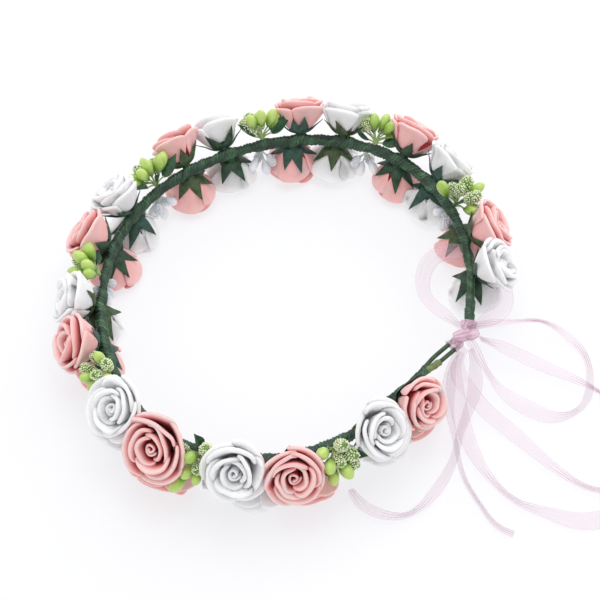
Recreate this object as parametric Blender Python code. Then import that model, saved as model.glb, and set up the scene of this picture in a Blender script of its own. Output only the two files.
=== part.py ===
"""Flower crown: a ring of steel wire bound with floral tape and set with two rows of foam roses and
sprigs, its two ends tied together at the back with organza ribbon. Metres, +Z up. It stands on z = 0
as it does on a table, with the front at -Y, the tie at +Y and the origin below its middle."""

import math

import bpy
import numpy as np
from mathutils import Matrix, Vector

MM = 0.001

# The ring, measured to the middle of the wire.
RING_WIDTH = 0.196
RING_DEPTH = 0.182
RING_CENTRE = (0.0003, 0.0019)
# The wire's route seen from above, in half widths and half depths from the ring's middle. It starts
# and ends at the tie, where the two arms meet at a blunt point.
WIRE_PLAN = (
    (-0.01, 1.00),
    (-0.39, 0.91),
    (-0.73, 0.71),
    (-0.96, 0.37),
    (-1.00, -0.02),
    (-0.86, -0.42),
    (-0.59, -0.74),
    (-0.25, -0.93),
    (0.13, -0.95),
    (0.51, -0.82),
    (0.82, -0.56),
    (0.99, -0.21),
    (0.96, 0.21),
    (0.75, 0.56),
    (0.41, 0.77),
    (0.07, 0.97),
)

# Wire and tape.
WIRE_RADIUS = 0.0008
EYE_LENGTH = 0.022
EYE_LEG_OFFSET = 0.0019
LEG_TUCK = 0.006
LEG_BLEND = 0.010
TAPE_RADIUS = 0.0028
TAPE_END_WALL = 0.00045
TAPE_BLEND = 0.028
BORE_CLEARANCE = 0.0005
LEG_END_CLEARANCE = 0.002
# Where the eye's spare leg has its points between its bend and its tip, in shares of the eye's length.
LEG_SHARES = (0.3, 0.6)
WIRE_RUNS = 76
TAPE_RUNS = 90
TAPE_SIDES = 8
BEND_STEPS = 6

# Roses: nine sets along the wire, each of a white rose, a pink rose and a sprig.
SETS = 9
NOMINAL_SET = 0.060
BARE_START = 0.021
BARE_END = 0.014
WHITE_SHARE = 0.18
PINK_SHARE = 0.55
ROSE_HEIGHT = 0.0185
ROSE_GAP = 0.0008
ROSE_STEM = 0.0017
PRESSED = 0.0012
# How far, in millimetres on a set of the nominal length, the upper sets and the lower roses were slid
# along the wire when they were bound on, and each upper rose's rise in degrees.
SET_SLIDES_MM = (0, 2, -3, -1, 3, 0, 2, -2, -2)
LOWER_SLIDES_MM = (2, 8, 3, 4, 1, 1, -3, -1, 1, 3, 0, 0, -1, 3, 4, 4, 3, 3)
UPPER_RISES = (38, 32, 35, 38, 45, 45, 28, 30, 55, 30, 25, 27, 50, 40, 38, 30, 44, 30)
# The lower roses point down, and splay outwards on the side where the crown leans on the table.
LOWER_FALL = 77
LOWER_SPLAY = 14
SPLAY_SIDE = (0.96, 0.29)
ROSE_PROFILE = (
    (0.00, 0.28),
    (0.12, 0.55),
    (0.32, 0.88),
    (0.56, 1.00),
    (0.80, 0.95),
    (0.95, 0.70),
    (1.00, 0.35),
)
ROSE_SIDES = 10

# Sprigs, one between each two pairs of roses: green above, white below.
GREEN_HEIGHT = 0.0165
WHITE_HEIGHT = 0.0145
SPRIG_GAP = 0.0005
GREEN_RISES = (54, 62, 70, 70, 52, 60, 48, 40)
SPRIG_PROFILE = ((0.00, 0.35), (0.35, 0.80), (0.70, 1.00), (0.92, 0.70), (1.00, 0.30))
SPRIG_SIDES = 8

# The ribbon that ties the arms. The bow's knot sits on the wire's two eyes.
RIBBON_WIDTH = 0.009
RIBBON_NECK = 0.003
RIBBON_NECK_RUN = 0.018
RIBBON_THICKNESS = 0.0004
RIBBON_STEP = 0.0045
KNOT_HALF_SIZE = (0.006, 0.0045, 0.0032)
KNOT_LIFT = 0.0005
KNOT_RINGS = 8
KNOT_SIDES = 14
LINK_RADIUS = 0.0004
LINK_SIDES = 6
LINK_STEP = 0.0015
# The link holds each eye this far from its tip, and passes this far above and below the wire. Its ends
# stand inside the knot, this share of the way out to the eyes.
LINK_HOLD = 0.006
LINK_DROP = 0.003
LINK_ROUNDING = 0.001
LINK_SHARE_IN_KNOT = 0.3

# Routes of the ribbons, in millimetres from the tie's foot on the table, with the turn of the ribbon
# about its own line in degrees. A turn of 0 lies flat. The bow's loops start and end inside the knot.
KNOT_ROUTE_HEIGHT = 26
LOOP_INNER = (
    (-1, -1.5, 26, 0),
    (-6, -8.5, 24, 10),
    (-20, -23, 18, 20),
    (-37, -27.5, 14, 25),
    (-47, -25, 14.5, 15),
    (-51, -18, 16.6, 5),
    (-52, -11, 17.5, 0),
    (-53, -5, 17, 0),
    (-50, 1, 15.5, -5),
    (-43, 9, 14.5, -15),
    (-30, 14, 17, -20),
    (-16, 12, 22, -10),
    (-1, 1.5, 26, 0),
)
LOOP_OUTER = (
    (-1, 1.5, 27.2, 0),
    (-7, 10, 26, -20),
    (-19.5, 24.5, 17, -37),
    (-28, 36.5, 8.5, -27),
    (-26.5, 48, 4, -30),
    (-19, 57.5, 2.9, -24),
    (-7, 62.5, 1.2, -6),
    (5, 62.5, 0.8, 0),
    (14, 57.5, 1, 6),
    (19, 47.5, 1.6, 8),
    (19, 35.5, 4, 0),
    (17, 23.5, 9, 22),
    (12, 13.5, 17, 40),
    (5, 4.5, 24.6, 10),
    (1, 0.5, 25.4, 0),
)
TAILS = {
    "ribbon_tail_1": (
        (1, 8, 23.5, -5),
        (-4, 18.5, 14, -8),
        (-6, 30.5, 7, -10),
        (-5, 43.5, 4.6, -15),
        (-2, 57, 5.2, -26),
        (2, 70, 4.4, -36),
        (7, 84, 2.2, -20),
        (7, 96, 0.9, 0),
        (-3, 104, 0.7, 0),
        (-15, 102.5, 0.7, 0),
    ),
    "ribbon_tail_2": (
        (8.8, 2.5, 24, 0),
        (14, 1, 19.6, 0),
        (18.5, 2.5, 15.8, 0),
        (22, 8, 11.5, -5),
        (27, 18, 5.6, -10),
        (32, 30, 2.4, -10),
        (39.5, 43.5, 2.5, -18),
        (47, 57, 2.8, -26),
        (52, 72, 3, -30),
        (48, 87, 2.2, -18),
        (35, 97, 0.7, 0),
        (21, 99, 0.7, 0),
    ),
    "ribbon_tail_3": (
        (9, 1.2, 20.4, 0),
        (14.5, 0, 14.8, 0),
        (20, 1.5, 9.2, 0),
        (29, 5.5, 6.3, 0),
        (38.5, 10.5, 4.8, -4),
        (51, 19, 3.6, -12),
        (62, 30.5, 3.2, -22),
        (68, 42, 2.6, -20),
        (69, 55.5, 1.8, -12),
        (69, 69.5, 1.3, -6),
        (63, 83.5, 0.8, 0),
        (55, 95.5, 0.7, 0),
    ),
    "ribbon_tail_4": (
        (8, -1.5, 17.5, 0),
        (14.5, -2, 10.5, 0),
        (20, -1, 6.2, 0),
        (28, 1, 4.2, 0),
        (37, 4.5, 3.6, 0),
        (46, 8.5, 3.2, -2),
        (55.5, 12.5, 3.1, -6),
        (65.5, 18, 3.2, -14),
        (75, 27, 2.7, -14),
        (82.5, 36.5, 2.3, -12),
        (84, 44, 2, -10),
    ),
    "ribbon_tail_5": (
        (6, 5, 20.5, 0),
        (10, 8.5, 13.5, 0),
        (15, 10.5, 7.6, 0),
        (20, 11, 4, 0),
        (26, 10.5, 1.8, 0),
        (32, 10, 0.8, 0),
        (40, 9.5, 0.6, 0),
        (50, 10, 0.7, 0),
        (62.5, 8.5, 0.9, 6),
        (77.5, 4, 2.2, 20),
        (89, -4, 2.2, 20),
        (91.5, -14.5, 2.4, 24),
        (89.5, -24, 2.6, 24),
        (84, -31, 2.3, 20),
    ),
}

COLOURS = {
    "white_foam": ((0.90, 0.92, 0.95), 0.75, 0.0),
    "pink_foam": ((0.93, 0.58, 0.55), 0.75, 0.0),
    "green_bud": ((0.42, 0.62, 0.12), 0.35, 0.0),
    "white_bud": ((0.88, 0.90, 0.92), 0.5, 0.0),
    "floral_tape": ((0.05, 0.14, 0.06), 0.55, 0.0),
    "steel_wire": ((0.10, 0.22, 0.10), 0.45, 0.6),
    "organza": ((0.94, 0.80, 0.88), 0.5, 0.0),
}


def clear_scene():
    for item in list(bpy.data.objects):
        bpy.data.objects.remove(item, do_unlink=True)


def material(name):
    """The Principled material of one finish, made the first time it is asked for."""
    found = bpy.data.materials.get(name)
    if found:
        return found
    colour, roughness, metallic = COLOURS[name]
    made = bpy.data.materials.new(name)
    made.use_nodes = True
    shader = made.node_tree.nodes["Principled BSDF"]
    shader.inputs["Base Color"].default_value = (*colour, 1.0)
    shader.inputs["Roughness"].default_value = roughness
    shader.inputs["Metallic"].default_value = metallic
    return made


def add_mesh(name, vertices, faces, finish):
    mesh = bpy.data.meshes.new(name)
    mesh.from_pydata([tuple(v) for v in vertices], [], faces)
    mesh.materials.append(material(finish))
    mesh.update()
    made = bpy.data.objects.new(name, mesh)
    bpy.context.scene.collection.objects.link(made)
    return made


def spline(points, step):
    """Points about one step apart on the smooth curve through the given ones, ends included."""
    points = np.array(points, float)
    chords = np.linalg.norm(np.diff(points[:, :3], axis=0), axis=1)
    knots = np.concatenate([[0.0], np.cumsum(chords)])
    count = len(points)
    # The natural cubic spline's second derivatives are zero at both ends.
    system = np.eye(count)
    wanted = np.zeros_like(points)
    for i in range(1, count - 1):
        before = knots[i] - knots[i - 1]
        after = knots[i + 1] - knots[i]
        system[i, i - 1 : i + 2] = (before, 2 * (before + after), after)
        rise_after = (points[i + 1] - points[i]) / after
        rise_before = (points[i] - points[i - 1]) / before
        wanted[i] = 6 * (rise_after - rise_before)
    bends = np.linalg.solve(system, wanted)
    dense = []
    for t in np.linspace(0.0, knots[-1], 40 * count):
        i = int(np.clip(np.searchsorted(knots, t, side="right") - 1, 0, count - 2))
        gap = knots[i + 1] - knots[i]
        a = (knots[i + 1] - t) / gap
        b = 1.0 - a
        curl = ((a**3 - a) * bends[i] + (b**3 - b) * bends[i + 1]) * gap**2 / 6
        dense.append(a * points[i] + b * points[i + 1] + curl)
    dense = np.array(dense)
    runs = np.linalg.norm(np.diff(dense[:, :3], axis=0), axis=1)
    along = np.concatenate([[0.0], np.cumsum(runs)])
    stations = np.linspace(0.0, along[-1], max(2, round(along[-1] / step)) + 1)
    columns = [np.interp(stations, along, dense[:, c]) for c in range(dense.shape[1])]
    return np.stack(columns, axis=1), stations


def smooth_step(value, low, high):
    share = min(1.0, max(0.0, (value - low) / (high - low)))
    return share * share * (3 - 2 * share)


class Band:
    """The wire's middle line: where it is, and which way is along and outwards, at a length along it."""

    def __init__(self):
        height = TAPE_RADIUS + ROSE_STEM + ROSE_HEIGHT - PRESSED
        route = [
            (RING_CENTRE[0] + x * RING_WIDTH / 2, RING_CENTRE[1] + y * RING_DEPTH / 2, height)
            for x, y in WIRE_PLAN
        ]
        self.line, self.stations = spline(route, 0.002)
        self.length = self.stations[-1]

    def at(self, along):
        return Vector([np.interp(along, self.stations, self.line[:, c]) for c in range(3)])

    def tangent(self, along):
        step = 0.001
        return (self.at(along + step) - self.at(along - step)).normalized()

    def outward(self, along):
        # The route turns anticlockwise seen from above, so outwards is on its right.
        ahead = self.tangent(along)
        return Vector((ahead.y, -ahead.x, 0.0)).normalized()


def halves(a, b, c, d):
    """A four-sided face as two flat triangles, since a swept skin's faces can be twisted."""
    return [(a, b, c), (a, c, d)]


def tube(name, centres, sections, finish, inner=None):
    """A swept closed solid. Each section is a ring of points; inner rings make a bore from end to end.

    The second half of each ring is split the other way, which keeps a twisted strip's two walls parallel.
    """
    rings = [np.array(s) + np.array(c) for c, s in zip(centres, sections)]
    sides = len(rings[0])
    vertices = [tuple(p) for ring in rings for p in ring]
    faces = []
    for r in range(len(rings) - 1):
        for i in range(sides):
            j = (i + 1) % sides
            corners = [r * sides + i, r * sides + j, (r + 1) * sides + j, (r + 1) * sides + i]
            if i >= sides // 2:
                corners = corners[1:] + corners[:1]
            faces += halves(*corners)
    last = (len(rings) - 1) * sides
    if inner is None:
        faces.append(tuple(reversed(range(sides))))
        faces.append(tuple(last + i for i in range(sides)))
        return add_mesh(name, vertices, faces, finish)
    base = len(vertices)
    bores = [np.array(s) + np.array(c) for c, s in zip(centres, inner)]
    vertices += [tuple(p) for ring in bores for p in ring]
    for r in range(len(rings) - 1):
        for i in range(sides):
            j = (i + 1) % sides
            low = base + r * sides
            faces += halves(low + j, low + i, low + sides + i, low + sides + j)
    for i in range(sides):
        j = (i + 1) % sides
        faces.append((j, i, base + i, base + j))
        faces.append((last + i, last + j, base + last + j, base + last + i))
    return add_mesh(name, vertices, faces, finish)


def oval(side, up, half_width, half_height, sides):
    """A ring of points that runs anticlockwise when the sweep comes towards the eye."""
    turns = [2 * math.pi * k / sides for k in range(sides)]
    return [side * (half_width * math.cos(t)) + up * (half_height * math.sin(t)) for t in turns]


def leg_offset(band, along):
    """How far each leg of an eye stands from the band's line; the wire comes back to it under the tape."""
    from_end = min(along, band.length - along)
    tip = EYE_LENGTH + LEG_TUCK
    return EYE_LEG_OFFSET * (1 - smooth_step(from_end, tip, tip + LEG_BLEND))


def eye_bend(band, along, sign):
    """The half turn at one eye's tip; sign is 1 where the wire starts and -1 where it ends."""
    ahead, side, middle = band.tangent(along), band.outward(along), band.at(along)
    bend = []
    for k in range(1, BEND_STEPS):
        angle = math.pi * k / BEND_STEPS
        reach = ahead * math.sin(angle) + side * math.cos(angle)
        bend.append(middle - reach * (EYE_LEG_OFFSET * sign))
    return bend


def core_wire(band):
    """One wire, doubled back at each end into a long eye whose spare leg is tucked under the tape."""
    tip = WIRE_RADIUS + EYE_LEG_OFFSET
    end = band.length - tip
    backs = [EYE_LENGTH + LEG_TUCK] + [EYE_LENGTH * share for share in reversed(LEG_SHARES)] + [tip]
    points = [band.at(back) - band.outward(back) * EYE_LEG_OFFSET for back in backs]
    points += eye_bend(band, tip, 1)
    for k in range(WIRE_RUNS + 1):
        along = tip + (end - tip) * k / WIRE_RUNS
        points.append(band.at(along) + band.outward(along) * leg_offset(band, along))
    points += eye_bend(band, end, -1)
    for back in reversed(backs):
        along = band.length - back
        points.append(band.at(along) - band.outward(along) * EYE_LEG_OFFSET)
    curve = bpy.data.curves.new("core_wire", "CURVE")
    curve.dimensions = "3D"
    curve.bevel_depth = WIRE_RADIUS
    curve.bevel_resolution = 1
    curve.use_fill_caps = True
    curve.materials.append(material("steel_wire"))
    run = curve.splines.new("POLY")
    run.points.add(len(points) - 1)
    for place, point in zip(run.points, points):
        place.co = (*point, 1.0)
    made = bpy.data.objects.new("core_wire", curve)
    bpy.context.scene.collection.objects.link(made)


def tape_wrap(band):
    """The floral tape as one sleeve round the wire, open at both ends, where the eyes come out."""
    up = Vector((0, 0, 1))
    centres, outsides, bores = [], [], []
    for k in range(TAPE_RUNS + 1):
        along = EYE_LENGTH + (band.length - 2 * EYE_LENGTH) * k / TAPE_RUNS
        from_end = min(along, band.length - along)
        side = band.outward(along)
        bore_width = leg_offset(band, from_end - LEG_END_CLEARANCE) + WIRE_RADIUS + BORE_CLEARANCE
        bore_height = WIRE_RADIUS + BORE_CLEARANCE
        full = smooth_step(from_end, EYE_LENGTH, EYE_LENGTH + TAPE_BLEND)
        narrow_width = EYE_LEG_OFFSET + WIRE_RADIUS + BORE_CLEARANCE + TAPE_END_WALL
        narrow_height = bore_height + TAPE_END_WALL
        width = narrow_width + (TAPE_RADIUS - narrow_width) * full
        height = narrow_height + (TAPE_RADIUS - narrow_height) * full
        centres.append(band.at(along))
        outsides.append(oval(up, side, height, width, TAPE_SIDES))
        bores.append(oval(up, side, bore_height, bore_width, TAPE_SIDES))
    tube("tape_wrap", centres, outsides, "floral_tape", inner=bores)


def turned(name, profile, height, radius, sides, finish):
    """A solid of revolution that stands on its narrow end at its own origin."""
    vertices, faces = [], []
    for share, width in profile:
        reach = radius * width
        for k in range(sides):
            angle = 2 * math.pi * k / sides
            vertices.append((reach * math.cos(angle), reach * math.sin(angle), height * share))
    for r in range(len(profile) - 1):
        for i in range(sides):
            j = (i + 1) % sides
            faces.append((r * sides + i, r * sides + j, (r + 1) * sides + j, (r + 1) * sides + i))
    last = (len(profile) - 1) * sides
    faces.append(tuple(reversed(range(sides))))
    faces.append(tuple(last + i for i in range(sides)))
    return add_mesh(name, vertices, faces, finish)


def seat(piece, band, along, rise):
    """Stands a piece on the tape at a length along the band, pointing outwards and up by rise degrees."""
    out = band.outward(along)
    angle = math.radians(rise)
    axis = out * math.cos(angle) + Vector((0, 0, math.sin(angle)))
    ahead = band.tangent(along)
    place = band.at(along) + axis * (TAPE_RADIUS + ROSE_STEM)
    turn = Matrix((ahead, axis.cross(ahead), axis)).transposed().to_4x4()
    piece.matrix_world = Matrix.Translation(place) @ turn


def press_flat(piece, table):
    """Flattens the petals that the crown's weight presses on the table."""
    cut = piece.modifiers.new("pressed_on_table", "BOOLEAN")
    cut.operation = "DIFFERENCE"
    cut.object = table


def table_guide():
    """A block below z = 0. It only shapes the petals that rest on the table."""
    size = 0.2
    corners = [(x * size, y * size, z) for z in (-0.05, 0.0) for y in (-1, 1) for x in (-1, 1)]
    faces = [(0, 2, 3, 1), (4, 5, 7, 6), (0, 1, 5, 4), (2, 6, 7, 3), (0, 4, 6, 2), (1, 3, 7, 5)]
    guide = add_mesh("table_guide", corners, faces, "steel_wire")
    guide.hide_render = True
    guide.display_type = "WIRE"
    return guide


def fall(band, along):
    out = band.outward(along)
    lean = out.x * SPLAY_SIDE[0] + out.y * SPLAY_SIDE[1]
    return LOWER_SPLAY * lean - LOWER_FALL


def row(band, slides_mm):
    """Where each rose of a row stands along the band, white and pink by turns."""
    set_length = (band.length - BARE_START - BARE_END) / SETS
    places = []
    for k, slide in enumerate(slides_mm):
        share = PINK_SHARE if k % 2 else WHITE_SHARE
        slid = slide * MM * set_length / NOMINAL_SET
        places.append(BARE_START + (k // 2 + share) * set_length + slid)
    return places


def flowers(band):
    """Both rows of roses, and a sprig between each two pairs."""
    table = table_guide()
    upper = row(band, [SET_SLIDES_MM[k // 2] for k in range(2 * SETS)])
    lower = row(band, LOWER_SLIDES_MM)
    steps = [places[k + 1] - places[k] for places in (upper, lower) for k in range(0, 2 * SETS, 2)]
    gaps = [places[k + 1] - places[k] for places in (upper, lower) for k in range(1, 2 * SETS - 1, 2)]
    rose_radius = (min(steps) - ROSE_GAP) / 2
    sprig_radius = min(gaps) / 2 - rose_radius - SPRIG_GAP
    rose = (ROSE_PROFILE, ROSE_HEIGHT, rose_radius, ROSE_SIDES)
    for k in range(2 * SETS):
        colour = "pink" if k % 2 else "white"
        high = turned(f"rose_upper_{k + 1:02d}_{colour}", *rose, f"{colour}_foam")
        seat(high, band, upper[k], UPPER_RISES[k])
        low = turned(f"rose_lower_{k + 1:02d}_{colour}", *rose, f"{colour}_foam")
        seat(low, band, lower[k], fall(band, lower[k]))
        press_flat(low, table)
    for k in range(SETS - 1):
        between = 2 * k + 1
        green = turned(
            f"sprig_green_{k + 1}", SPRIG_PROFILE, GREEN_HEIGHT, sprig_radius, SPRIG_SIDES, "green_bud"
        )
        seat(green, band, (upper[between] + upper[between + 1]) / 2, GREEN_RISES[k])
        white = turned(
            f"sprig_white_{k + 1}", SPRIG_PROFILE, WHITE_HEIGHT, sprig_radius, SPRIG_SIDES, "white_bud"
        )
        along = (lower[between] + lower[between + 1]) / 2
        seat(white, band, along, fall(band, along))


def strip(name, route, foot, necks):
    """A ribbon's solid: flat, and narrower where it runs into the knot at either end named in necks."""
    lift = foot.z / KNOT_ROUTE_HEIGHT
    points = [(foot.x + x * MM, foot.y + y * MM, z * lift, turn) for x, y, z, turn in route]
    line, stations = spline(points, RIBBON_STEP)
    centres, sections = [], []
    for k, station in enumerate(stations):
        before, after = max(0, k - 1), min(len(stations) - 1, k + 1)
        ahead = Vector(line[after, :3] - line[before, :3]).normalized()
        side = Vector((0, 0, 1)).cross(ahead).normalized()
        side.rotate(Matrix.Rotation(math.radians(line[k, 3]), 3, ahead))
        face = ahead.cross(side)
        full = 1.0
        if "start" in necks:
            full = min(full, smooth_step(station, 0, RIBBON_NECK_RUN))
        if "end" in necks:
            full = min(full, smooth_step(stations[-1] - station, 0, RIBBON_NECK_RUN))
        half = (RIBBON_NECK + (RIBBON_WIDTH - RIBBON_NECK) * full) / 2
        thin = RIBBON_THICKNESS / 2
        corners = ((-half, -thin), (half, -thin), (half, thin), (-half, thin))
        centres.append(Vector(line[k, :3]))
        sections.append([side * x + face * y for x, y in corners])
    return tube(name, centres, sections, "organza")


def ribbon_bow(band, knot_middle):
    """The bow: two loops and a knot, and the narrow turn of ribbon that holds both eyes."""
    first, last = band.at(LINK_HOLD), band.at(band.length - LINK_HOLD)
    middle = (band.at(0.0) + band.at(band.length)) / 2
    turns = [math.pi * k / KNOT_RINGS for k in range(1, KNOT_RINGS)]
    profile = [(0.5 - 0.5 * math.cos(t), math.sin(t)) for t in turns]
    knot = turned("ribbon_bow", profile, 1.0, 1.0, KNOT_SIDES, "organza")
    shape = Matrix.Diagonal((KNOT_HALF_SIZE[0], KNOT_HALF_SIZE[1], 2 * KNOT_HALF_SIZE[2], 1.0))
    bottom = knot_middle - Vector((0, 0, KNOT_HALF_SIZE[2]))
    knot.data.transform(Matrix.Translation(bottom) @ shape)
    up = Vector((0, 0, 1))
    reach = LINK_DROP + WIRE_RADIUS
    route = [
        knot_middle + (first - middle) * LINK_SHARE_IN_KNOT,
        first + up * reach,
        first,
        first - up * (reach - LINK_ROUNDING),
        (first + last) / 2 - up * reach,
        last - up * (reach - LINK_ROUNDING),
        last,
        last + up * reach,
        knot_middle + (last - middle) * LINK_SHARE_IN_KNOT,
    ]
    line, stations = spline([tuple(p) for p in route], LINK_STEP)
    centres, sections = [], []
    across = (last - first).cross(up).normalized()
    for k in range(len(stations)):
        before, after = max(0, k - 1), min(len(stations) - 1, k + 1)
        ahead = Vector(line[after] - line[before]).normalized()
        side = ahead.cross(across).normalized()
        centres.append(Vector(line[k]))
        sections.append(oval(across, side, LINK_RADIUS, LINK_RADIUS, LINK_SIDES))
    joined = [tube("link_guide", centres, sections, "organza")]
    joined.append(strip("loop_inner_guide", LOOP_INNER, knot_middle, ("start", "end")))
    joined.append(strip("loop_outer_guide", LOOP_OUTER, knot_middle, ("start", "end")))
    for guide in joined:
        guide.hide_render = True
        guide.display_type = "WIRE"
        union = knot.modifiers.new(guide.name, "BOOLEAN")
        union.operation = "UNION"
        union.object = guide


def main():
    clear_scene()
    band = Band()
    core_wire(band)
    tape_wrap(band)
    flowers(band)
    knot_middle = (band.at(0.0) + band.at(band.length)) / 2
    knot_middle.z += WIRE_RADIUS + KNOT_LIFT + KNOT_HALF_SIZE[2]
    ribbon_bow(band, knot_middle)
    for name, route in TAILS.items():
        strip(name, route, knot_middle, ("start",))


main()
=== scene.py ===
import math

import bpy
import numpy as np
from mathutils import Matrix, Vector


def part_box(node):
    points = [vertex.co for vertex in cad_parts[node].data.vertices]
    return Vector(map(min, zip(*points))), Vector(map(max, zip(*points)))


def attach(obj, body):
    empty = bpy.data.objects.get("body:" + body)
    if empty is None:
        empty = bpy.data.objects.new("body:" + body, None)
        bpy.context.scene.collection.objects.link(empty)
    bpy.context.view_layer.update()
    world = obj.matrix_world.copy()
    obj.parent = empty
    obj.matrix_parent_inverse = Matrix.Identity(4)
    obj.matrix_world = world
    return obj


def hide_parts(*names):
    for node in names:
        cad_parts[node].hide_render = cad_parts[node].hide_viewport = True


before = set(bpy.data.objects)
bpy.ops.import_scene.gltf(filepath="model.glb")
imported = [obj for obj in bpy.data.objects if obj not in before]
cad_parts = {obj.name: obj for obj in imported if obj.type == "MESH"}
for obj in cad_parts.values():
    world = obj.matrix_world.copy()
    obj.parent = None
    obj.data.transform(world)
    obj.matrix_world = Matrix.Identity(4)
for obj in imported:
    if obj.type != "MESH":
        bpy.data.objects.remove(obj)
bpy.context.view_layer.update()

# -------------------- core wire
# One length of soft steel wire in a green paper sleeve, bent by hand to the oval of a head. Each end
# is doubled back into a long eye for the ribbon, and the spare leg is bound in under the tape.
WIRE_PLAN = (
    (-0.01, 1.00), (-0.39, 0.91), (-0.73, 0.71), (-0.96, 0.37),
    (-1.00, -0.02), (-0.86, -0.42), (-0.59, -0.74), (-0.25, -0.93),
    (0.13, -0.95), (0.51, -0.82), (0.82, -0.56), (0.99, -0.21),
    (0.96, 0.21), (0.75, 0.56), (0.41, 0.77), (0.07, 0.97),
)
BARE_WIRE_RADIUS = 0.0008
PAPER_WIRE_RADIUS = 0.00105
EYE_LEG_OFFSET = 0.0019
EYE_LENGTH = 0.022
LEG_TUCK = 0.006
LEG_BLEND = 0.010
# The eye where the wire starts is squeezed nearly shut and taped over.
TAPED_EYE_SHARE = 0.55
EYE_TAPER_SHARE = 0.6
EYE_LEG_POINTS = 9
EYE_BEND_STEPS = 8
WIRE_RUN_MARGIN = 0.004
WIRE_RUN_POINTS = 300
SAMPLES_A_SPAN = 40


def smooth_line(points, step):
    """Points about one step apart on the natural cubic spline through the given ones."""
    points = np.array(points, float)
    knots = np.concatenate([[0.0], np.cumsum(np.linalg.norm(np.diff(points[:, :3], axis=0), axis=1))])
    count = len(points)
    system, wanted = np.eye(count), np.zeros_like(points)
    for i in range(1, count - 1):
        before, after = knots[i] - knots[i - 1], knots[i + 1] - knots[i]
        system[i, i - 1 : i + 2] = (before, 2 * (before + after), after)
        wanted[i] = 6 * ((points[i + 1] - points[i]) / after - (points[i] - points[i - 1]) / before)
    bends = np.linalg.solve(system, wanted)
    t = np.linspace(0.0, knots[-1], SAMPLES_A_SPAN * count)
    i = np.clip(np.searchsorted(knots, t, side="right") - 1, 0, count - 2)
    gap = (knots[i + 1] - knots[i])[:, None]
    a = (knots[i + 1] - t)[:, None] / gap
    b = 1.0 - a
    curl = ((a**3 - a) * bends[i] + (b**3 - b) * bends[i + 1]) * gap**2 / 6
    dense = a * points[i] + b * points[i + 1] + curl
    along = np.concatenate([[0.0], np.cumsum(np.linalg.norm(np.diff(dense[:, :3], axis=0), axis=1))])
    stations = np.linspace(0.0, along[-1], max(2, round(along[-1] / step)) + 1)
    return np.stack([np.interp(stations, along, c) for c in dense.T], axis=1), stations


def smooth_step(value, low, high):
    """0 up to low and 1 from high, with a soft rise between."""
    share = np.clip((value - low) / (high - low), 0.0, 1.0)
    return share * share * (3 - 2 * share)


def unit(vectors):
    return vectors / np.maximum(np.linalg.norm(vectors, axis=-1, keepdims=True), 1e-12)


wire_low, wire_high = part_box("core_wire")
plan = smooth_line([(x, y, 0.0) for x, y in WIRE_PLAN], 0.01)[0]
plan_low, plan_high = plan.min(axis=0), plan.max(axis=0)
ring_low = np.array(wire_low) + BARE_WIRE_RADIUS
ring_high = np.array(wire_high) - (BARE_WIRE_RADIUS, BARE_WIRE_RADIUS + EYE_LEG_OFFSET, BARE_WIRE_RADIUS)
ring_scale = (ring_high - ring_low)[:2] / (plan_high - plan_low)[:2]
BAND_HEIGHT = (wire_low.z + wire_high.z) / 2
ring_route = [
    (*(ring_low[:2] + (np.array(point) - plan_low[:2]) * ring_scale), BAND_HEIGHT) for point in WIRE_PLAN
]
ring_line, ring_stations = smooth_line(ring_route, 0.001)
RING_LENGTH = ring_stations[-1]
UP = np.array((0.0, 0.0, 1.0))


def ring_at(along):
    return np.stack([np.interp(along, ring_stations, c) for c in ring_line.T], axis=-1)


def ring_ahead(along):
    return unit(ring_at(np.asarray(along) + 0.001) - ring_at(np.asarray(along) - 0.001))


def ring_out(along):
    return unit(np.cross(ring_ahead(along), UP))


def finish_nodes(name, sockets):
    """A new finish, with its shader's sockets set by name."""
    finish = bpy.data.materials.new(name)
    finish.use_nodes = True
    shader = finish.node_tree.nodes["Principled BSDF"]
    for key, value in sockets.items():
        shader.inputs[key].default_value = value
    return finish, finish.node_tree, shader


def node(tree, kind, values=(), **settings):
    """A shader node with its sockets set by name and its settings by keyword."""
    made = tree.nodes.new(kind)
    for key, value in settings.items():
        setattr(made, key, value)
    for key, value in dict(values).items():
        made.inputs[key].default_value = value
    return made


def colour_by(tree, shader, factor, *stops):
    """Colours the finish by a ramp fed by factor; each stop is a place and a colour."""
    ramp = tree.nodes.new("ShaderNodeValToRGB")
    while len(ramp.color_ramp.elements) < len(stops):
        ramp.color_ramp.elements.new(0.5)
    for element, (place, colour) in zip(ramp.color_ramp.elements, stops):
        element.position = place
        element.color = (*colour, 1.0)
    tree.links.new(factor, ramp.inputs["Fac"])
    tree.links.new(ramp.outputs["Color"], shader.inputs["Base Color"])


def grain(tree, scale, detail=2.0, stretch=(1.0, 1.0, 1.0)):
    """Noise in the piece's own space, scale features to a metre."""
    place = tree.nodes.new("ShaderNodeTexCoord")
    sized = node(tree, "ShaderNodeMapping", {"Scale": stretch})
    made = node(tree, "ShaderNodeTexNoise", {"Scale": scale, "Detail": detail})
    tree.links.new(place.outputs["Object"], sized.inputs["Vector"])
    tree.links.new(sized.outputs["Vector"], made.inputs["Vector"])
    return made.outputs["Fac"]


def uneven_fact(tree, fact, noise, weight):
    """A number kept on the points, with some noise added so that no part is one flat colour."""
    kept = node(tree, "ShaderNodeAttribute", attribute_name=fact)
    weighed = node(tree, "ShaderNodeMath", {1: weight}, operation="MULTIPLY")
    total = node(tree, "ShaderNodeMath", operation="ADD")
    tree.links.new(noise, weighed.inputs[0])
    tree.links.new(weighed.outputs[0], total.inputs[0])
    tree.links.new(kept.outputs["Fac"], total.inputs[1])
    return total.outputs[0]


def raise_grain(tree, shader, height, distance, strength):
    """Relief from a height; distance is in metres."""
    bump = node(tree, "ShaderNodeBump", {"Distance": distance, "Strength": strength})
    tree.links.new(height, bump.inputs["Height"])
    tree.links.new(bump.outputs["Normal"], shader.inputs["Normal"])


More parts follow.
